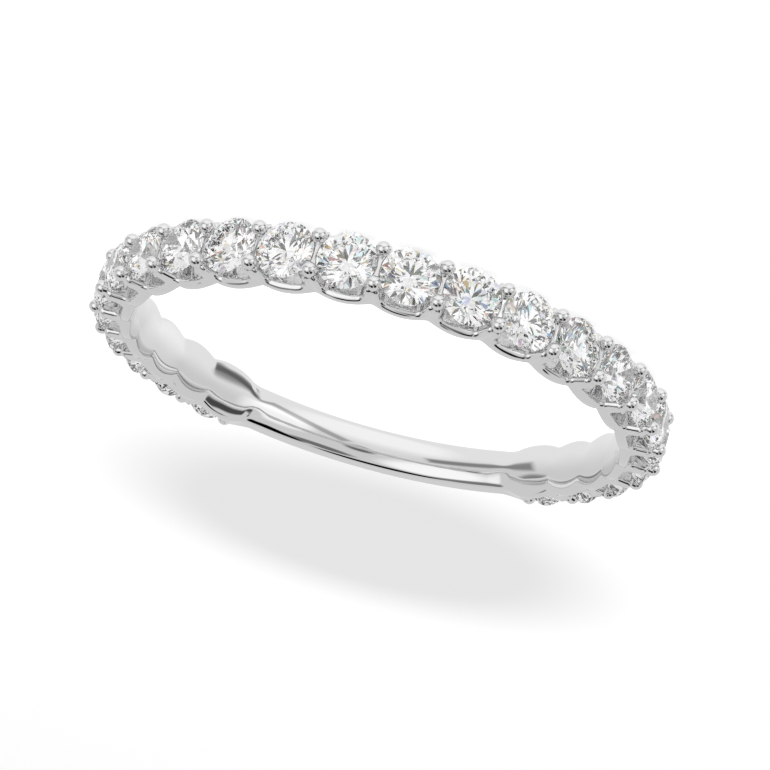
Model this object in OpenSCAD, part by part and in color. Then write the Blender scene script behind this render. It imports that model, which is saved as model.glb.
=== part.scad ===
// Diamond wedding band: 24 round brilliants in one row of shared prongs, over a plain shank.
// The ring lies on its side. The finger hole runs along Z, the origin is at its middle,
// and the middle of the stone row faces -Y.

/* [Finger hole and shank] */
// Inside diameter, which sets the ring's size
inside_d = 17.3; // [16.8:0.1:18.4]
// Width of the plain shank
shank_w = 1.5; // [1.3:0.02:1.64]
// Thickness of the plain shank
shank_t = 1.0; // [0.9:0.02:1.1]
// Radius of the shank's outer edges
shank_edge_r = 0.2; // [0.1:0.02:0.3]

/* [Stones] */
// Diameter of a stone
stone_d = 1.94; // [1.8:0.01:1.94]
// Height of the girdle above the wall of the finger hole
girdle_rise = 1.28; // [1.24:0.01:1.34]
// Width of the table as a share of the diameter
table_share = 0.57; // [0.53:0.01:0.62]
// Slope of the crown's main facets
crown_slope = 34.5; // [32:0.5:36]
// Slope of the pavilion's main facets
pavilion_slope = 40.75; // [40:0.25:41.5]
// Thickness of the girdle as a share of the diameter
girdle_share = 0.03; // [0.025:0.005:0.045]
// Length of the star facets, from the table's edge towards the girdle
star_share = 0.5; // [0.4:0.05:0.6]
// Length of the lower halves, from the girdle towards the culet
lower_share = 0.8; // [0.7:0.05:0.85]

/* [Setting] */
// Width across the scallops
row_w = 2.1; // [2.0:0.02:2.2]
// Width across the notches between the scallops
notch_w = 1.74; // [1.7:0.02:1.8]
// Length of the flat crest of a scallop, on which the ring rests
crest = 0.34; // [0.2:0.02:0.4]
// Width across the tops of the cross walls
top_w = 1.72; // [1.7:0.02:1.74]
// Thickness of the rail under the windows
rail_t = 0.53; // [0.45:0.01:0.6]
// Half width of a window at its floor
window_floor = 0.62; // [0.5:0.01:0.66]
// Half width of a window at the height of the girdle
window_top = 0.795; // [0.76:0.005:0.81]
// Radius of a window's corners
window_corner = 0.2; // [0.1:0.02:0.3]
// Height of the cross walls above the girdle
wall_rise = 0.04; // [0.02:0.01:0.08]
// Diameter of a prong's stem
stem_d = 0.46; // [0.44:0.01:0.47]
// Diameter of the bead that ends a prong
bead_d = 0.52; // [0.5:0.01:0.56]
// Distance between the two beads of a pair
bead_span = 1.2; // [1.18:0.01:1.22]
// Height of a bead's middle above the girdle
bead_rise = 0.15; // [0.1:0.01:0.2]
// Clearance round a stone in its seat
seat_gap = 0.03; // [0.03:0.005:0.04]

/* [Hidden] */
stones = 24;
cells = 30;                              // cells in a whole turn, of which the stones fill 24
pitch = 360 / cells;
end_angle = stones * pitch / 2;          // from the row's middle to the last pair of prongs
bore_r = inside_d / 2;
shank_r = bore_r + shank_t;
girdle_r = bore_r + girdle_rise;         // from the ring's axis to a girdle's middle
stone_r = stone_d / 2;
girdle_h = stone_d * girdle_share / 2;   // half the girdle's thickness
table_r = stone_r * table_share;
table_h = girdle_h + (stone_r - table_r) * tan(crown_slope);
culet_h = girdle_h + stone_r * tan(pavilion_slope);
star_r = stone_r * star_share + table_r * cos(22.5) * (1 - star_share);
star_h = girdle_h + (stone_r - star_r * cos(22.5)) * tan(crown_slope);
lower_r = stone_r * (1 - lower_share);
lower_h = girdle_h + (stone_r - lower_r * cos(22.5)) * tan(pavilion_slope);
wall_r = girdle_r + wall_rise;           // top of the cross walls
bead_r = girdle_r + bead_rise;           // from the ring's axis to a bead's middle
window_r = bore_r + rail_t;              // floor of the windows
half_cell = bore_r * sin(pitch / 2);
notch_depth = (row_w - notch_w) / 2;
arc_h = ((half_cell ^ 2 - crest ^ 2 / 4) / notch_depth + notch_depth) / 2;
scallop_r = sqrt(arc_h ^ 2 + crest ^ 2 / 4);
scallop_y = row_w / 2 - arc_h;           // from the ring's middle plane to a scallop's centre
side_flat = 0.35;                        // height of the flat part of the sides above the finger hole
run_out = 7;                             // angle from the last prongs to where the shank is plain
land = 1.33;                             // angle of that which stays at full height behind the prongs
run_out_steps = 6;
root = 0.3;                              // depth of a prong's stem in the rail, and of a notch in the hole
notch_in = 0.5;                          // half width that no notch comes near
turn_step = 17;                          // each stone is turned this much further than the one before
lap = 0.02;                              // overlap of two faces that would lie in one plane
over = 1;                                // reach of a cutter past a face
far = 3;                                 // height of a cutter that starts inside the metal

function stone_angle(i) = -90 + (stones / 2 + 0.5 - i) * pitch;
function prong_angle(k) = -90 - k * pitch;
function stone_name(i) = str("stone_", i < 10 ? "0" : "", i);

// Turns the child's own frame, whose Z is the way outwards, to a direction on the ring:
// its X then follows the ring round and its Y is the ring's axis.
module outwards(angle) {
    rotate([0, 0, angle]) rotate([0, 90, 0]) rotate([0, 0, 90]) children();
}

// Plain shank: a round plate with rounded edges, which the finger hole turns into a hoop.
module shank() {
    edge = [for (a = [0 : 30 : 90]) [shank_r - shank_edge_r * (1 - cos(a)),
                                     shank_w / 2 - shank_edge_r * (1 - sin(a))]];
    upper = concat(edge, [[0, shank_w / 2]]);
    lower = [for (n = [len(upper) - 1 : -1 : 0]) [upper[n][0], -upper[n][1]]];
    rotate_extrude($fn = 180) polygon(concat(upper, lower));
}

// Blank of the stone row, before it is pierced and scalloped.
module row_blank() {
    span = end_angle + run_out;
    rotate([0, 0, -90 - span])
        rotate_extrude(angle = 2 * span, $fn = 180)
            polygon([[0, -row_w / 2], [bore_r + side_flat, -row_w / 2], [wall_r, -top_w / 2],
                     [wall_r, top_w / 2], [bore_r + side_flat, row_w / 2], [0, row_w / 2]]);
}

// Window below a stone, right through from side to side: a U whose walls lean outwards.
module window(i) {
    lean = atan((window_top - window_floor) / (girdle_r - window_r));
    top_x = window_floor + (wall_r + far - window_r) * tan(lean);
    arc_x = window_floor - window_corner * tan((90 - lean) / 2);
    corner = [for (t = [90 : -30 : 0]) let (a = -90 + (90 - t) * (90 - lean) / 90)
              [arc_x + window_corner * cos(a), window_r + window_corner * (1 + sin(a))]];
    right = concat(corner, [[top_x, wall_r + far]]);
    left = [for (n = [len(right) - 1 : -1 : 0]) [-right[n][0], right[n][1]]];
    rotate([0, 0, stone_angle(i) - 90])
        linear_extrude(row_w + 2 * over, center = true) polygon(concat(right, left));
}

// Notch on both sides of the rail between two scallops, cut straight inwards.
module notch(k) {
    reach = half_cell - crest / 4;
    outwards(prong_angle(k))
        for (side = [-1, 1])
            difference() {
                translate([-reach, side > 0 ? notch_in : -row_w, bore_r - root])
                    cube([2 * reach, row_w - notch_in, far]);
                for (next = [-1, 1])
                    translate([next * half_cell, side * scallop_y, bore_r - root - over])
                        cylinder(r = scallop_r, h = far + 2 * over, $fn = 180);
            }
}

// Flanks of the last scallop, which run out into the shank; side is 1 or -1.
module row_flanks(side) {
    inner_y = shank_w / 2 - lap;
    outwards(-90 + side * (end_angle - pitch / 2))
        for (edge = [-1, 1])
            difference() {
                translate([side > 0 ? crest / 4 : -far, edge > 0 ? inner_y : -row_w, bore_r - over])
                    cube([far - crest / 4, row_w - inner_y, far]);
                translate([0, edge * scallop_y, bore_r - 2 * over])
                    cylinder(r = scallop_r, h = far + 2 * over, $fn = 180);
            }
}

// What is cut off behind a last pair of prongs, down to the shank; side is 1 or -1.
module row_slope(side) {
    low_r = shank_r - shank_edge_r;
    slope = [for (n = [0 : run_out_steps])
             let (t = n / run_out_steps, a = -90 + side * (end_angle + land + (run_out - land) * t),
                  r = low_r + (wall_r - low_r) * (1 + cos(180 * t)) / 2)
             [r * cos(a), r * sin(a)]];
    first = -90 + side * (end_angle + land);
    last = -90 + side * (end_angle + run_out + land);
    above = [for (a = [last, first]) (wall_r + over) * [cos(a), sin(a)]];
    linear_extrude(row_w + 2 * over, center = true)
        polygon(concat(slope, [low_r * [cos(last), sin(last)]], above));
}

// Prong: a round stem that ends in a bead; side is 1 or -1.
module prong(k, side) {
    outwards(prong_angle(k))
        translate([0, side * bead_span / 2, 0]) {
            translate([0, 0, bore_r + root]) cylinder(d = stem_d, h = bead_r - bore_r - root, $fn = 32);
            translate([0, 0, bead_r]) sphere(d = bead_d, $fn = 32);
        }
}

// Seat: the outline of a stone with its clearance, turned round the stone's axis.
module seat(i) {
    g = seat_gap;
    outwards(stone_angle(i))
        translate([0, 0, girdle_r])
            rotate_extrude($fn = 64)
                polygon([[0, -culet_h - g / cos(pavilion_slope)],
                         [stone_r + g, -girdle_h],
                         [stone_r + g, girdle_h],
                         [table_r + g, table_h + g],
                         [0, table_h + g]]);
}

module band() {
    color("gainsboro")
        difference() {
            union() {
                difference() {
                    union() {
                        difference() {
                            row_blank();
                            for (side = [-1, 1]) row_flanks(side);
                            for (side = [-1, 1]) row_slope(side);
                        }
                        shank();
                    }
                    for (i = [1 : stones]) window(i);
                    for (k = [1 - stones / 2 : stones / 2 - 1]) notch(k);
                }
                for (k = [-stones / 2 : stones / 2], side = [-1, 1]) prong(k, side);
            }
            cylinder(r = bore_r, h = row_w + 2 * over, center = true, $fn = 180);
            for (i = [1 : stones]) seat(i);
        }
}

// Round brilliant with its axis along Z and its girdle's middle at the origin. Its points are rings
// round the axis: eight on the table, eight star tips, 32 on each edge of the girdle, eight where
// the lower halves meet, and the culet. A girdle point between two facet corners lies on the
// facet's own plane, so that the girdle is round and every facet is flat.
module brilliant() {
    side_at = function (tip_r, tip_h) let (run = stone_r * cos(11.25) - tip_r * cos(11.25))
        (tip_h - girdle_h) / run * stone_r * (1 - cos(11.25));
    edge_h = function (n, tip_r, tip_h) n % 2 == 0 ? girdle_h : girdle_h - side_at(tip_r, tip_h);
    ring = function (count, r, h, turn = 0)
        [for (n = [0 : count - 1]) let (a = turn + 360 * n / count) [r * cos(a), r * sin(a), h]];
    upper = [for (n = [0 : 31]) let (a = 11.25 * n)
             [stone_r * cos(a), stone_r * sin(a), edge_h(n, star_r, star_h)]];
    lower = [for (n = [0 : 31]) let (a = 11.25 * n)
             [stone_r * cos(a), stone_r * sin(a), -edge_h(n, lower_r, lower_h)]];
    points = concat(ring(8, table_r, table_h), ring(8, star_r, star_h, 22.5), upper, lower,
                    ring(8, lower_r, -lower_h, 22.5), [[0, 0, -culet_h]]);
    table = 0;
    star = 8;
    up = 16;
    down = 48;
    low = 80;
    culet = 88;
    next = function (n, count = 8) (n + 1) % count;
    faces = concat(
        [[for (n = [7 : -1 : 0]) table + n]],
        [for (n = [0 : 7]) [table + n, table + next(n), star + n]],
        [for (n = [0 : 7]) [table + n, star + n, up + 4 * n, star + (n + 7) % 8]],
        [for (n = [0 : 7]) each [[star + n, up + 4 * n + 2, up + 4 * n + 1, up + 4 * n],
                                 [star + n, up + next(4 * n + 3, 32), up + 4 * n + 3, up + 4 * n + 2]]],
        [for (n = [0 : 31]) [up + n, up + next(n, 32), down + next(n, 32), down + n]],
        [for (n = [0 : 7]) each [[low + n, down + 4 * n, down + 4 * n + 1, down + 4 * n + 2],
                                 [low + n, down + 4 * n + 2, down + 4 * n + 3, down + next(4 * n + 3, 32)]]],
        [for (n = [0 : 7]) [culet, low + (n + 7) % 8, down + 4 * n, low + n]]);
    polyhedron(points, faces);
}

module stone(i) {
    color("white")
        outwards(stone_angle(i)) translate([0, 0, girdle_r]) rotate([0, 0, turn_step * i]) brilliant();
}

band();
for (i = [1 : stones]) stone(i);
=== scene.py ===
"""Looks of a diamond wedding band that lies on its side: polished white gold with a row of brilliants."""

import math

import bmesh
import bpy
import numpy as np
from mathutils import Matrix, Vector


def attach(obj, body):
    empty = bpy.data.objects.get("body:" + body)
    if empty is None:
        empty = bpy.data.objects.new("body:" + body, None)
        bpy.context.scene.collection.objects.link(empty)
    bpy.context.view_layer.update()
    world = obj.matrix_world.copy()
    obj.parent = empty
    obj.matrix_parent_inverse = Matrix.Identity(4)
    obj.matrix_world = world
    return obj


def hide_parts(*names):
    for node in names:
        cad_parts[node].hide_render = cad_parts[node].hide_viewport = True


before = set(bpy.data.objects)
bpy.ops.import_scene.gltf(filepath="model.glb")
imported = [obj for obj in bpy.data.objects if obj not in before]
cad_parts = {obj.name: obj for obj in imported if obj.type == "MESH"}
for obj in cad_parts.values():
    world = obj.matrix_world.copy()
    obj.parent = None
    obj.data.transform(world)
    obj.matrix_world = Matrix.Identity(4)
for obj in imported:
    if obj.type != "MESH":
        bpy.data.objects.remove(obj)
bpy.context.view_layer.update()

# Sizes that repeat the solids, in millimetres and radians
MM = 0.001
STONES = 24
PITCH = math.radians(12)
HALF = PITCH / 2
ROW_END = STONES * HALF
BORE_R = 8.65
GIRDLE_R = BORE_R + 1.28
STONE_R = 0.97
GIRDLE_H = 0.029
SEAT_R = STONE_R + 0.03
PAVILION = math.radians(40.75)
CULET_Y = GIRDLE_R - GIRDLE_H - SEAT_R * math.tan(PAVILION)
CROWN_FALL = 0.76
CREST_Z = 1.05
SCALLOP_R = 2.287
SCALLOP_Z = -1.2305
HALF_CELL = BORE_R * math.sin(HALF)
WALL_R = GIRDLE_R + 0.04
WINDOW_R = BORE_R + 0.53
WINDOW_FLOOR = 0.62
WINDOW_TOP = 0.795
WINDOW_CORNER = 0.2
LEAN = math.atan((WINDOW_TOP - WINDOW_FLOOR) / (GIRDLE_R - WINDOW_R))
TAPER_START = BORE_R + 0.35
TAPER_Z = 0.19
SHANK_W = 1.5
SHANK_T = 1.0
RUN_OUT = math.radians(7)
LAND = math.radians(1.33)
BEAD_R = 0.26
BEAD_Z = 0.6
BEAD_H = GIRDLE_R + 0.15
STEM_R = 0.23

# Rounding by wear and polish: edge radii, the bottom of each scallop, and the bow of the finger hole
FLOOR_EDGE = 0.21
WALL_EDGE = 0.25
TOP_EDGE = 0.2
BORE_EDGE = 0.1
SHANK_BORE_EDGE = 0.3
SHANK_OUTER_EDGE = 0.2
VALLEY_SOFT = 0.07
CREST_SOFT = 0.004
TAPER_SOFT = 0.02
FLOOR_SOFT = 0.02
SEAT_SOFT = 0.015
SHANK_TOP_SOFT = 0.03
BORE_BEND = 3.4

# How the row runs out into the shank: the angle over which its sides narrow, and how far below the shank's
# top the curve of its own top ends
NARROWING = math.radians(3.7)
DIP = 0.2

# Least half thickness of a wall between two stones, and how near a stone's seat moves a point
WALL_LEAST = 0.012
SEAT_NEAR = 0.1

# Points of the grids: along a window's floor, corner, wall and top, then up its side, round its edge, round
# the bore's edge and down the bore, on the run-out and the shank, and on a prong
FLOOR_N, CORNER_N, WALL_N, TOP_N = 8, 9, 10, 5
RISE_N, TURN_N, BEND_N, DOWN_N = 10, 5, 6, 5
RUN_OUT_N, SHANK_N = 25, 25
BALL_N, STEM_N, AROUND_N = 12, 5, 21

# Where they lie: shares of the way over the side's face, of the height on the way down the bore, of the
# shank's quarter ellipse on its bore, and of the walls' height where the face meets the next cell
FACE_STEPS = [0.04, 0.25, 0.5, 0.75, 1]
FACE_N = len(FACE_STEPS)
DOWN_START = 0.96
BORE_SHARE = 0.42
FAR_SHARE = 0.97

# Powers that gather points towards the first of them, and towards the last
GATHER, CLOSE_UP = 1.2, 1.5


def soft_max(a, b, k):
    """The larger of a and b, with the crossing rounded over a width k: half of
    a + b + root((a - b)^2 + k^2)."""
    return (a + b + np.sqrt((a - b) ** 2 + k * k)) / 2


def soft_min(a, b, k):
    """The smaller of a and b, with the crossing rounded over a width k."""
    return -soft_max(-a, -b, k)


def ease(t):
    """Smooth step from 0 to 1: 3 t^2 - 2 t^3."""
    t = np.clip(t, 0, 1)
    return t * t * (3 - 2 * t)


def lerp(a, b, t):
    """From a at t = 0 to b at t = 1, in a straight line."""
    return a + (b - a) * t


def polar(radius, angle):
    """Points (x, y) at a radius and at an angle from the y axis: (r sin a, r cos a)."""
    return np.stack(np.broadcast_arrays(radius * np.sin(angle), radius * np.cos(angle)), -1)


def quads(rows, columns):
    """The four-sided faces of a grid of rows by columns."""
    first = (np.arange(rows - 1)[:, None] * columns + np.arange(columns - 1)).ravel()
    return np.stack([first, first + 1, first + columns + 1, first + columns], -1)


def soften(off):
    """Distance from a valley, rounded at its bottom: root(d^2 + s^2) - s."""
    return np.sqrt(off ** 2 + VALLEY_SOFT ** 2) - VALLEY_SOFT


def scallop(off):
    """Height of a scallop at a distance off from the valley beside it: a circle's arc, highest mid cell."""
    return SCALLOP_Z + np.sqrt(SCALLOP_R ** 2 - np.clip(HALF_CELL - off, 0, None) ** 2)


def side_height(p):
    """Height of the row's side over a point (x, y) of a cell: the lowest of the scallop's arc, the crest and
    the plane that falls from the rail to the stones, with soft crossings."""
    x, y = p[..., 0], p[..., 1]
    arc = scallop(soften(np.abs(y * math.sin(HALF) - x * math.cos(HALF))))
    plane = CREST_Z - TAPER_Z * (np.hypot(x, y) - TAPER_START) / (WALL_R - TAPER_START)
    arc = soft_min(arc, CREST_Z + CREST_SOFT / 2, CREST_SOFT)
    return np.minimum(soft_min(arc, plane + TAPER_SOFT / 4, TAPER_SOFT), CREST_Z)


def window_points():
    """Half of a window's outline from its middle outwards, and the directions from it into the metal: a flat
    floor, a round corner, and a straight wall that leans by LEAN and ends below the rounded top."""
    centre_x = WINDOW_FLOOR - WINDOW_CORNER * math.tan((math.pi / 2 - LEAN) / 2)
    floor_x = centre_x * np.linspace(0, 1, FLOOR_N, endpoint=False) ** GATHER
    floor = np.stack([floor_x, np.full_like(floor_x, WINDOW_R)], -1)
    turn = np.linspace(-math.pi / 2, -LEAN, CORNER_N)
    out = np.stack([np.cos(turn), np.sin(turn)], -1)
    corner = np.array([centre_x, WINDOW_R + WINDOW_CORNER]) + WINDOW_CORNER * out
    start = corner[-1]
    along = np.array([math.sin(LEAN), math.cos(LEAN)])
    reach = WALL_R - TOP_EDGE
    root = start @ along
    length = -root + math.sqrt(root ** 2 - start @ start + reach ** 2)
    share = 1 - (1 - np.linspace(0, 1, WALL_N + 1)[1:, None]) ** CLOSE_UP
    wall = start + along * length * share
    normal = np.concatenate([np.tile([0.0, -1.0], (FLOOR_N, 1)), out, np.tile(out[-1], (WALL_N, 1))])
    return np.concatenate([floor, corner, wall]), normal


def seat_x(y, z):
    """Half width of a stone's seat at a height y and a depth z: a chord of the pavilion's cone."""
    radius = SEAT_R - np.clip(GIRDLE_R - GIRDLE_H - y, 0, None) / math.tan(PAVILION)
    radius = np.clip(radius, 0, None)
    return np.sqrt(radius ** 2 - np.minimum(z ** 2, radius ** 2))


def make_room(p):
    """Points (x, y, z) of a window's sides, where the floor sinks under the culet's cone and the walls move
    out to the seat's chord, with soft crossings, as far as the wall's middle allows."""
    x, y, z = p[..., 0], p[..., 1], p[..., 2]
    cone = CULET_Y + np.hypot(x, z) * math.tan(PAVILION)
    low = y < WINDOW_R + 1e-9
    y = np.where(low, np.minimum(y, soft_min(cone, WINDOW_R, FLOOR_SOFT)), y)
    y = np.where(low & (cone > WINDOW_R + SEAT_NEAR), WINDOW_R, y)
    seat = seat_x(y, z)
    upper = y > WINDOW_R + WINDOW_CORNER
    wide = np.where(upper, soft_max(x, seat, SEAT_SOFT), x)
    wide = np.where(upper & (seat < x - SEAT_NEAR), x, wide)
    middle = y * math.tan(HALF)
    x = np.where(upper, np.minimum(wide, np.maximum(middle - WALL_LEAST, x)), x)
    return np.stack([x, y, z], -1)


def section(points, normals, edge, far, to_bore):
    """The metal on one side of a window's outline, as a grid with a row for each outline point: up the
    window's side, round the edge in a quarter circle of radius edge, over the face to the points far, and
    where to_bore holds, round the bore's edge and down its wall to the middle plane."""
    edge = edge[:, None]
    top = side_height(points)[:, None]
    rise = np.linspace(0, 1, RISE_N)[None] ** GATHER * (top - edge)
    wall = np.concatenate([np.repeat(points[:, None], rise.shape[1], 1), rise[..., None]], -1)
    wall = make_room(wall)
    turn = np.linspace(0, math.pi / 2, TURN_N + 1)[None, 1:]
    inset = points[:, None] + normals[:, None] * (edge * (1 - np.cos(turn)))[..., None]
    round_z = side_height(inset) - edge * (1 - np.sin(turn))
    share = np.array(FACE_STEPS)[None, :, None]
    face = lerp(inset[:, -1:], far[:, None], share)
    xy, z = [inset, face], [round_z, side_height(face)]
    if to_bore:
        angle = np.arctan2(far[:, 0], far[:, 1])[:, None]
        turn = np.linspace(0, math.pi / 2, BEND_N + 1)[None, 1:]
        bend = polar(BORE_R + BORE_EDGE * (1 - np.sin(turn)), angle)
        bend_z = side_height(far)[:, None] - BORE_EDGE * (1 - np.cos(turn))
        down = np.linspace(DOWN_START, 0, DOWN_N)[None]
        xy += [bend, polar(np.full_like(down, BORE_R), angle)]
        z += [bend_z, bend_z[:, -1:] * down]
    xy, z = np.concatenate(xy, 1), np.concatenate(z, 1)
    return np.concatenate([wall, np.concatenate([xy, z[..., None]], -1)], 1)


def quarter_cell():
    """A quarter of a cell, from its middle to the middle of the wall beside it and from the middle plane up:
    the rail between the window's floor and the bore, and the wall between the window and the next cell. The
    outline is split in mid corner, and each edge radius changes evenly along it."""
    points, normals = window_points()
    half_corner = CORNER_N // 2
    split = FLOOR_N + half_corner
    edge = np.full(len(points), FLOOR_EDGE)
    edge[split:] = np.interp(np.arange(len(points) - split), [0, half_corner, half_corner + WALL_N],
                             [FLOOR_EDGE, WALL_EDGE, TOP_EDGE])
    lower = slice(0, split + 1)
    angle = np.linspace(0, HALF, split + 1)
    rail = section(points[lower], normals[lower], edge[lower], polar(BORE_R + BORE_EDGE, angle), True)

    angle0 = math.atan2(points[-1, 0], points[-1, 1])
    share = np.linspace(0, 1, TOP_N + 1)[1:]
    width = (HALF - angle0) * WALL_R
    drop = np.clip(1 - share * width / TOP_EDGE, 0, 1)
    top = polar(WALL_R - TOP_EDGE + TOP_EDGE * np.sqrt(1 - drop ** 2), lerp(angle0, HALF, share))
    top_normal = -top / np.linalg.norm(top, axis=1)[:, None]
    outline = np.concatenate([points[split:], top])
    normal = np.concatenate([normals[split:], top_normal])
    wide_edge = np.concatenate([edge[split:], np.full(TOP_N, TOP_EDGE)])
    height = np.hypot(*(outline + normal * wide_edge[:, None]).T)
    low = BORE_R + BORE_EDGE
    step = np.concatenate([[0], np.cumsum(np.linalg.norm(np.diff(outline, axis=0), axis=1))])
    far_r = lerp(low, height[-1], np.clip(step / step[-1 - TOP_N], 0, 1) * FAR_SHARE)
    far_r[-TOP_N:] = lerp(far_r[-1 - TOP_N], height[-1], share)
    wall = section(outline, normal, wide_edge, polar(far_r, HALF), False)
    return rail, wall


def place(grid, turn, mirror_x, mirror_z):
    """A cell's points (x, y, z), mirrored where a factor is -1 and turned about the ring's axis."""
    x, y, z = np.moveaxis(grid, -1, 0)
    x, z = x * mirror_x, z * mirror_z
    c, s = math.cos(turn), math.sin(turn)
    return np.stack([y * c - x * s, y * s + x * c, z], -1).reshape(-1, 3)


def crowned(r, z, edge, end):
    """Radius r of the finger hole's wall, bowed outwards towards its edges: an arc along the row (end 0)
    that turns into the shank's quarter ellipse (end 1), fading out from the bore to the windows' floor."""
    arc = (z / edge * CREST_Z) ** 2 / (2 * BORE_BEND)
    ellipse = SHANK_BORE_EDGE * (1 - np.sqrt(1 - np.clip(z / edge, -1, 1) ** 2))
    return r + lerp(arc, ellipse, end) * np.clip((WINDOW_R - r) / (WINDOW_R - BORE_R), 0, 1)


def bore_edge(angle):
    """Height of the bore's edge in the row, at an angle from the row's middle."""
    cell = np.abs(np.mod(angle / PITCH, 1) - 0.5) * PITCH
    return side_height(polar(BORE_R + BORE_EDGE, cell))


def crown_row(points):
    """The row's points with the bowed finger hole. Within the last cell the bow turns into the shank's, and
    then the last valley loses its rounded bottom, so that both meet the shank's first outline."""
    x, y, z = points.T
    angle = np.arctan2(x, -y)
    edge = bore_edge(angle)
    left = ROW_END - np.abs(angle)
    r = crowned(np.hypot(x, y), z, edge, ease(2 - left / HALF))
    off = r * np.sin(np.clip(left, 0, HALF))
    fade = np.clip(2 - 2 * left / HALF, 0, 1)
    z = z * (1 + fade * (scallop(off) - scallop(soften(off))) / edge)
    return np.stack([r * np.sin(angle), -r * np.cos(angle), z], -1)


def shank_section(count):
    """Half of the shank's outline as (radius, height), from the middle of the bore to the middle of its
    outside: a quarter ellipse, a flat side, a quarter circle and a flat top, with count points on each."""
    bore_n, bend_n, face_n, round_n, top_n = count
    half = SHANK_W / 2
    outer = BORE_R + SHANK_T
    bore_t, bend_t = np.linspace(0, BORE_SHARE, bore_n), np.linspace(BORE_SHARE, 1, bend_n + 1)[1:]
    t = math.pi / 2 * np.concatenate([bore_t, bend_t])
    bore = np.stack([BORE_R + SHANK_BORE_EDGE * (1 - np.cos(t)), half * np.sin(t)], -1)
    a = np.linspace(0, 1, face_n + 1)[1:]
    face = np.stack([lerp(BORE_R + SHANK_BORE_EDGE, outer - SHANK_OUTER_EDGE, a), np.full(face_n, half)], -1)
    t = np.linspace(0, math.pi / 2, round_n + 1)[1:]
    rounded = np.stack([outer - SHANK_OUTER_EDGE * (1 - np.sin(t)),
                        half - SHANK_OUTER_EDGE * (1 - np.cos(t))], -1)
    a = np.linspace(1, 0, top_n + 1)[1:]
    top = np.stack([np.full(top_n, outer), (half - SHANK_OUTER_EDGE) * a], -1)
    return np.concatenate([bore, face, rounded, top])


def end_section(rail, wall):
    """The row's end outline as (radius, height), in the shank's order, and the points on each part."""
    def flat(points):
        """Points (x, y, z) as (radius, height)."""
        return np.stack([np.hypot(points[:, 0], points[:, 1]), points[:, 2]], -1)
    last = flat(rail[-1])[::-1]
    face = flat(wall[1:, -1])
    over = flat(wall[-1])[::-1][FACE_N + 1:]
    bore_n = DOWN_N + 1
    count = [bore_n, BEND_N, len(face), TURN_N, len(over) - TURN_N]
    return np.concatenate([last[:bore_n + BEND_N], face, over]), count


def shank_sweep(rail, wall):
    """Half of the shank: an outline carried round the ring's axis, from the row's end section to the
    shank's. The top falls along a cosine and meets the shank's radius softly, the sides narrow along a
    parabola, and the bore's side of the outline goes over on a curve of its own."""
    start, count = end_section(rail, wall)
    goal = shank_section(count)
    angle = np.concatenate([ROW_END + RUN_OUT * np.linspace(0, 1, RUN_OUT_N),
                            np.linspace(ROW_END + RUN_OUT, math.pi, SHANK_N)[1:]])
    t = np.clip((angle - ROW_END) / RUN_OUT, 0, 1)[:, None]
    start[:, 0] = crowned(start[:, 0], start[:, 1], bore_edge(ROW_END), 1)
    narrow = 1 - np.clip(1 - t * RUN_OUT / NARROWING, 0, 1) ** 2
    fall = (1 + np.cos(math.pi * np.clip((t * RUN_OUT - LAND) / (RUN_OUT - LAND), 0, 1))) / 2
    outer = BORE_R + SHANK_T
    low = outer - DIP
    top_r = soft_max(low + (WALL_R - low) * fall, outer, SHANK_TOP_SOFT)
    share = np.clip((top_r - outer) / (top_r[0] - outer), 0, 1)
    inner = sum(count[:2])
    near = np.interp(np.arange(len(start)), [inner, inner + count[2]], [1, 0])
    r = lerp(start[:, 0], goal[:, 0], lerp(1 - share, 1 - (1 - t) ** CLOSE_UP, near))
    z = lerp(start[:, 1], goal[:, 1], narrow)
    a = angle[:, None]
    return np.stack([r * np.cos(a), r * np.sin(a), z], -1)


def bead():
    """A prong turned about its own axis: a ball down to its neck, a straight stem, and a flat foot."""
    neck = math.acos(-math.sqrt(1 - (STEM_R / BEAD_R) ** 2))
    t = np.linspace(0, neck, BALL_N)
    ball = np.stack([BEAD_R * np.sin(t), BEAD_H + BEAD_R * np.cos(t)], -1)
    stem_y = np.linspace(ball[-1, 1], WINDOW_R, STEM_N)[1:]
    stem = np.stack([np.full_like(stem_y, STEM_R), stem_y], -1)
    profile = np.concatenate([ball, stem, [[0, WINDOW_R]]])
    around = np.linspace(0, 2 * math.pi, AROUND_N)
    height = np.repeat(profile[:, 1:], AROUND_N, 1)
    return np.stack([profile[:, :1] * np.cos(around), height, profile[:, :1] * np.sin(around)], -1)


def clear_stones(p, sides):
    """A prong's points moved straight out from the axis of the stone on each side, as far as its seat: a
    cone below the girdle, a cone above it, and a cylinder between them."""
    for side in sides:
        c, s = math.cos(side * HALF), math.sin(side * HALF)
        x = p[..., 0] * c - p[..., 1] * s
        y = p[..., 0] * s + p[..., 1] * c
        z = p[..., 2]
        h = y - GIRDLE_R
        radius = np.where(h < 0, SEAT_R - np.clip(-h - GIRDLE_H, 0, None) / math.tan(PAVILION),
                          SEAT_R - np.clip(h - GIRDLE_H, 0, None) / CROWN_FALL)
        rho = np.hypot(x, z)
        grow = np.maximum(radius, rho) / np.maximum(rho, 1e-9)
        x, z = x * grow, z * grow
        p = np.stack([x * c + y * s, -x * s + y * c, z], -1)
    return p


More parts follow.
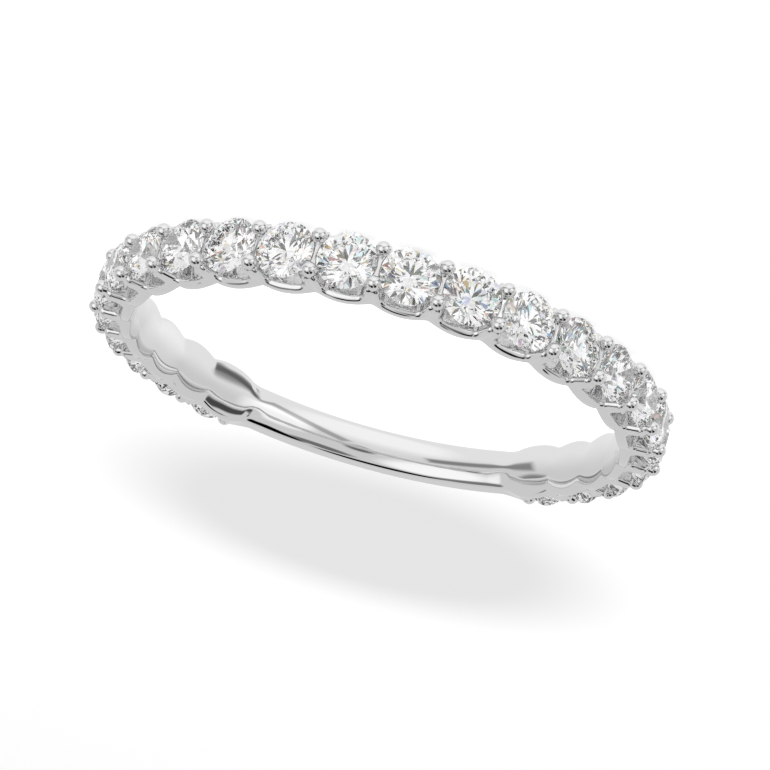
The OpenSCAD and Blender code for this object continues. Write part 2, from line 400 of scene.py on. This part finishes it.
def setting_mesh():
    """Points in metres and faces of the whole band: four quarters of each cell with its bowed bore, the
    shank in four quarters, and a pair of prongs at each wall."""
    rail, wall = quarter_cell()
    mirrors = [(mx, mz) for mx in (1, -1) for mz in (1, -1)]
    parts = []
    for i in range(STONES):
        turn = -math.pi / 2 + (STONES / 2 - 0.5 - i) * PITCH
        for grid in (rail, wall):
            for mx, mz in mirrors:
                parts.append((crown_row(place(grid, turn, mx, mz)), grid.shape[:2]))
    half = shank_sweep(rail, wall)
    for mx, mz in mirrors:
        turned = np.stack([half[..., 1] * mx, -half[..., 0], half[..., 2] * mz], -1)
        parts.append((turned.reshape(-1, 3), half.shape[:2]))
    prong = bead()
    for k in range(STONES + 1):
        turn = -math.pi / 2 + (k - STONES / 2) * PITCH
        sides = ([] if k == 0 else [-1]) + ([] if k == STONES else [1])
        for side in (1, -1):
            spot = clear_stones(prong + np.array([0, 0, side * BEAD_Z]), sides)
            parts.append((place(spot, turn, 1, 1), prong.shape[:2]))
    points, faces, base = [], [], 0
    for part, shape in parts:
        points.append(part)
        faces.append(quads(*shape) + base)
        base += len(part)
    return np.concatenate(points) * MM, np.concatenate(faces)


def link(name, data):
    """A new object in the scene for a mesh, a lamp or a camera."""
    obj = bpy.data.objects.new(name, data)
    bpy.context.scene.collection.objects.link(obj)
    return obj


def mesh_object(name, points, faces):
    """A smooth closed mesh piece, with doubles merged and faces turned outwards."""
    mesh = bpy.data.meshes.new(name)
    mesh.from_pydata(points.tolist(), [], faces.tolist())
    work = bmesh.new()
    work.from_mesh(mesh)
    bmesh.ops.remove_doubles(work, verts=work.verts, dist=2e-7)
    bmesh.ops.dissolve_degenerate(work, edges=work.edges, dist=1e-8)
    bmesh.ops.recalc_face_normals(work, faces=work.faces)
    work.to_mesh(mesh)
    work.free()
    mesh.shade_smooth()
    return link(name, mesh)


def linear(hex_colour):
    """A linear RGBA colour from an sRGB hex value."""
    parts = [int(hex_colour[i:i + 2], 16) / 255 for i in (0, 2, 4)]
    return [c / 12.92 if c <= 0.04045 else ((c + 0.055) / 1.055) ** 2.4 for c in parts] + [1.0]


def add(tree, kind, inputs=None, **settings):
    """Adds a node, sets its properties, and sets or links its inputs."""
    node = tree.nodes.new(kind)
    for key, value in settings.items():
        setattr(node, key, value)
    for key, value in (inputs or {}).items():
        if isinstance(value, bpy.types.NodeSocket):
            tree.links.new(value, node.inputs[key])
        else:
            node.inputs[key].default_value = value
    return node


def surface(name):
    """A new material, its node tree and its shader."""
    material = bpy.data.materials.new(name)
    material.use_nodes = True
    return material, material.node_tree, material.node_tree.nodes["Principled BSDF"]


def white_gold():
    """Rhodium-plated white gold, buffed to a mirror. The buffing wheel leaves patches, about 1.5 mm wide,
    that are a little less sharp than the rest."""
    material, tree, shader = surface("rhodium_plated_white_gold")
    where = add(tree, "ShaderNodeTexCoord").outputs["Object"]
    patches = add(tree, "ShaderNodeTexNoise", {"Vector": where, "Scale": 1 / (1.5 * MM), "Detail": 2.0})
    haze = add(tree, "ShaderNodeMapRange", {"Value": patches.outputs["Fac"], "To Min": 0.03, "To Max": 0.07})
    shader.inputs["Base Color"].default_value = linear("e3e3e3")
    shader.inputs["Metallic"].default_value = 1.0
    tree.links.new(haze.outputs["Result"], shader.inputs["Roughness"])
    return material


def diamond():
    """Diamond, cut and polished flat by flat: near colourless, with the faint cloudy tint of a natural
    crystal in clouds of about 0.6 mm. Its flats are mirror smooth, and its refractive index is 2.417."""
    material = bpy.data.materials.new("brilliant_cut_diamond")
    material.use_nodes = True
    tree = material.node_tree
    tree.nodes.clear()
    where = add(tree, "ShaderNodeTexCoord").outputs["Object"]
    cloud = add(tree, "ShaderNodeTexNoise", {"Vector": where, "Scale": 1 / (0.6 * MM), "Detail": 3.0})
    haze = add(tree, "ShaderNodeMapRange", {"Value": cloud.outputs["Fac"], "To Max": 0.2})
    tint = add(tree, "ShaderNodeMix", {0: haze.outputs["Result"], 6: linear("ffffff"), 7: linear("fefefe")},
               data_type="RGBA")
    glass = add(tree, "ShaderNodeBsdfGlass", {"Color": tint.outputs[2], "Roughness": 0.0, "IOR": 2.417})
    add(tree, "ShaderNodeOutputMaterial", {"Surface": glass.outputs[0]})
    return material


# The paper's colour, and the painted light that makes it glow by itself: strongly under the ring and round
# it, where it whitens the shade that the ring casts on the paper, and evenly farther out, with the radii
# over which the one fades into the other
PAPER, CENTRE_PAINTED_GLOW, PAPER_GLOW = "cbcbcb", 0.8, 0.43
PAINTED_GLOW_START, PAINTED_GLOW_END = 11.5 * MM, 16 * MM


def painted_glow_paper():
    """White paper that glows by itself: painted light, stronger under the ring and round it, which whitens
    the shade that the ring casts there. The paper's fibres, in clumps of about 0.4 mm, make its matt finish
    a little uneven."""
    material, tree, shader = surface("white_paper_with_painted_glow")
    where = add(tree, "ShaderNodeTexCoord").outputs["Object"]
    radius = add(tree, "ShaderNodeVectorMath", {0: where}, operation="LENGTH").outputs["Value"]
    # Painted light: the paper glows by itself, most strongly under the ring and round it, which whitens the
    # ring's shade on it; farther out the glow is even
    glow = add(tree, "ShaderNodeMapRange", {"Value": radius, "From Min": PAINTED_GLOW_START, "From Max": PAINTED_GLOW_END,
                                            "To Min": CENTRE_PAINTED_GLOW, "To Max": PAPER_GLOW},
               interpolation_type="SMOOTHSTEP")
    fibres = add(tree, "ShaderNodeTexNoise", {"Vector": where, "Scale": 1 / (0.4 * MM), "Detail": 3.0})
    matt = add(tree, "ShaderNodeMapRange", {"Value": fibres.outputs["Fac"], "To Min": 0.85, "To Max": 0.95})
    shader.inputs["Base Color"].default_value = linear(PAPER)
    shader.inputs["Specular IOR Level"].default_value = 0.0
    shader.inputs["Emission Color"].default_value = linear("ffffff")
    tree.links.new(matt.outputs["Result"], shader.inputs["Roughness"])
    tree.links.new(glow.outputs["Result"], shader.inputs["Emission Strength"])
    return material


# The camera's place and roll as seen from the ring, its view in pixels of the photo, and its film in mm
ELEVATION = math.radians(18.44)
AZIMUTH = math.radians(-95.44)
ROLL = math.radians(163.86)
DISTANCE = 97.416 * MM
FOCAL_PX = 2797.2
OFFSET_PX = (-5.4, -13.5)
PHOTO_PX = 770
SENSOR = 36
FORWARD = np.array([math.cos(AZIMUTH), math.sin(AZIMUTH), 0])
RIGHT = np.array([-math.sin(AZIMUTH), math.cos(AZIMUTH), 0])
UP = np.array([0, 0, 1.0])


def over(climb, aside=0):
    """Direction from the ring at an angle of climb in degrees, from the horizon on the camera's side (0)
    over the zenith (90) to the far horizon (180), and an angle to the side of that."""
    c, a = math.radians(climb), math.radians(aside)
    return math.cos(a) * (math.cos(c) * FORWARD + math.sin(c) * UP) + math.sin(a) * RIGHT


# The tent's wall, and as seen through the stones; how far its edges are split into colours
WALL, STONE_WALL = 0.75, 1.0
SPLIT = [(0.016, 0.009), (0, 0), (-0.014, 0.016)]

# Lamps behind the tent and black flags in it: direction, radius and soft edge in degrees, and the level
LAMPS = [(-90, 0, 60, 20, 0.97), (30, 37, 16, 16, 1.2), (-11, -42, 12, 12, 1.15), (-34, 5, 24, 20, 0.88),
         (-155, -50, 10, 14, 0.84)]
FLAGS = [(78, 7, 15, 6, 0.0), (68, -35, 15, 6, 0.0), (44, -14, 9, 8, 0.25), (82, 38, 10, 12, 0.3),
         (2, 1, 4, 6, 0.2), (28, -67, 4, 5, 0.1), (-100, 86, 4, 5, 0.35), (-72, -51, 4, 12, 0.3)]
# Above this a level is a lamp's own, and below it a level is the share of the wall that a flag leaves
LAMP_LEAST = 0.5
# Arms of the lamp stands: dark bands between two directions, with the level that they leave, their soft edge
# as sines of the angle off the band's middle, and the soft width of their ends in degrees
ARMS = [((-80, -52), (-11, -10), 0.5), ((-15, 38), (-80, 71), 0.35)]
ARM_EDGE = (0.03, 0.11)
ARM_END = 8
# What only the stones show: the dark round the camera, which gives their facets contrast
SHADE = (18, 0, 14, 5, 0.0)


def studio():
    """A white tent round the ring, with black flags hung in it. Through the stones it is seen with its edges
    split into colours, as diamond's dispersion does."""
    world = bpy.data.worlds.new("studio")
    world.use_nodes = True
    tree = world.node_tree
    way = add(tree, "ShaderNodeTexCoord").outputs["Generated"]

    def step(value, start, stop, low, high):
        """Smooth step of a value from low at start to high at stop."""
        return add(tree, "ShaderNodeMapRange", {"Value": value, "From Min": start, "From Max": stop,
                                                "To Min": low, "To Max": high},
                   interpolation_type="SMOOTHSTEP").outputs["Result"]

    def dot(way, axis):
        """How far a direction goes along an axis."""
        return add(tree, "ShaderNodeVectorMath", {0: way, 1: axis}, operation="DOT_PRODUCT").outputs["Value"]

    def times(a, b):
        """The product of two levels."""
        return add(tree, "ShaderNodeMath", {0: a, 1: b}, operation="MULTIPLY").outputs[0]

    def patch(way, centre, radius, soft, level):
        """The level within radius degrees of a direction, turning to 1 over the soft width."""
        inner, outer = (math.cos(math.radians(a)) for a in (radius, radius + soft))
        return step(dot(way, centre), outer, inner, 1, level)

    def arm(way, ends, level):
        """The level close to the great circle through two directions and between them, and 1 elsewhere."""
        ends = [over(*end) for end in ends]
        across = np.cross(*ends)
        sine = np.linalg.norm(across)
        off = add(tree, "ShaderNodeMath", {0: dot(way, across / sine)}, operation="ABSOLUTE").outputs[0]
        middle = (ends[0] + ends[1]) / np.linalg.norm(ends[0] + ends[1])
        beyond = patch(way, middle, math.degrees(math.asin(sine)) / 2, ARM_END, 0)
        near = step(off, *ARM_EDGE, level, 1)
        return add(tree, "ShaderNodeMath", {0: beyond, 1: near}, operation="MAXIMUM").outputs[0]

    def tent(way, wall, spots):
        """The tent's level in a direction: its wall, the lamps behind it, less the flags and the arms."""
        light = wall
        for *ends, level in ARMS:
            light = times(light, arm(way, ends, level))
        for climb, aside, radius, soft, level in spots:
            level = level / wall if level > LAMP_LEAST else level
            light = times(light, patch(way, over(climb, aside), radius, soft, level))
        return light

    plain = tent(way, WALL, LAMPS + FLAGS)
    split = []
    for shift in SPLIT:
        nudge = shift[0] * RIGHT + shift[1] * UP
        bent = add(tree, "ShaderNodeVectorMath", {0: way, 1: nudge}, operation="ADD")
        bent = add(tree, "ShaderNodeVectorMath", {0: bent.outputs[0]}, operation="NORMALIZE")
        split.append(tent(bent.outputs[0], STONE_WALL, LAMPS + FLAGS + [SHADE]))
    colours = add(tree, "ShaderNodeCombineColor", dict(enumerate(split)))
    through = add(tree, "ShaderNodeLightPath").outputs["Is Transmission Ray"]
    light = add(tree, "ShaderNodeMix", {0: through, 6: plain, 7: colours.outputs[0]}, data_type="RGBA")
    tree.links.new(light.outputs[2], tree.nodes["Background"].inputs["Color"])
    return world


# The floor's height and half width, and the card that shades it behind the ring: its middle and radius
FLOOR_Z = -CREST_Z * MM
REACH = 1.0
CARD_PLACE = -FORWARD * 20.3 * MM - RIGHT * 1.2 * MM + UP * 17 * MM
CARD_R = 9.8 * MM
CARD_SIDES = 48


def lay_floor():
    """A flat square of paper at the height of the ring's lowest points, out of sight of the metal and the
    stones, whose mirrors show the tent instead."""
    corners = [(-REACH, -REACH, FLOOR_Z), (REACH, -REACH, FLOOR_Z), (REACH, REACH, FLOOR_Z),
               (-REACH, REACH, FLOOR_Z)]
    floor_mesh = bpy.data.meshes.new("floor")
    floor_mesh.from_pydata(corners, [], [(0, 1, 2, 3)])
    floor = link("floor", floor_mesh)
    floor.visible_glossy = floor.visible_transmission = False
    floor_mesh.materials.append(painted_glow_paper())


def key_light(direction, distance, size, power):
    """A round lamp in a direction, turned to the ring, which the metal and the stones don't mirror."""
    lamp = bpy.data.lights.new("key", "AREA")
    lamp.shape = "DISK"
    lamp.size = size
    lamp.energy = power
    obj = link("key", lamp)
    direction = Vector(direction)
    obj.location = direction * distance
    obj.rotation_mode = "QUATERNION"
    obj.rotation_quaternion = direction.to_track_quat("Z", "Y")
    obj.visible_glossy = obj.visible_transmission = False


def hang_card():
    """A round card, of which only the shadow shows: it shades the floor behind the ring from the lamp."""
    turn = np.linspace(0, 2 * math.pi, CARD_SIDES, endpoint=False)
    rim = CARD_PLACE + CARD_R * (np.cos(turn)[:, None] * RIGHT + np.sin(turn)[:, None] * FORWARD)
    card_mesh = bpy.data.meshes.new("card")
    card_mesh.from_pydata(rim.tolist(), [], [list(range(CARD_SIDES))])
    card = link("card", card_mesh)
    card.visible_camera = card.visible_glossy = card.visible_transmission = card.visible_diffuse = False


def place_camera():
    """The camera as fitted to the photo. Its axes are the view's right and up turned by ROLL, and away,
    which points from the ring to the camera."""
    away = math.cos(ELEVATION) * FORWARD + math.sin(ELEVATION) * UP
    up = np.cross(away, RIGHT)
    c, s = math.cos(ROLL), math.sin(ROLL)
    columns = [c * RIGHT - s * up, s * RIGHT + c * up, away, away * DISTANCE]
    view = bpy.data.cameras.new("camera")
    view.sensor_width = SENSOR
    view.lens = SENSOR * FOCAL_PX / PHOTO_PX
    view.shift_x = -OFFSET_PX[0] / PHOTO_PX
    view.shift_y = OFFSET_PX[1] / PHOTO_PX
    view.clip_start = 0.001
    view.clip_end = 10
    camera = link("camera", view)
    camera.matrix_world = Matrix([[column[row] for column in columns] for row in range(3)] + [[0, 0, 0, 1]])
    bpy.context.scene.camera = camera


# The ring
gold = white_gold()
gem = diamond()

points, faces = setting_mesh()
setting = mesh_object("white_gold_band", points, faces)
setting.data.materials.append(gold)
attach(setting, "root")
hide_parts("band")

for name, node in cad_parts.items():
    if name.startswith("stone_"):
        node.data.materials.clear()
        node.data.materials.append(gem)

# The stage
lay_floor()
bpy.context.scene.world = studio()
key_light(direction=over(76), distance=0.6, size=0.18, power=1.5)
hang_card()
place_camera()

# Colours shown as they are, and enough bounces for light to find its way out of the stones
bpy.context.scene.view_settings.view_transform = "Standard"
bpy.context.scene.cycles.max_bounces = 24
bpy.context.scene.cycles.transmission_bounces = 24
bpy.context.scene.cycles.glossy_bounces = 12
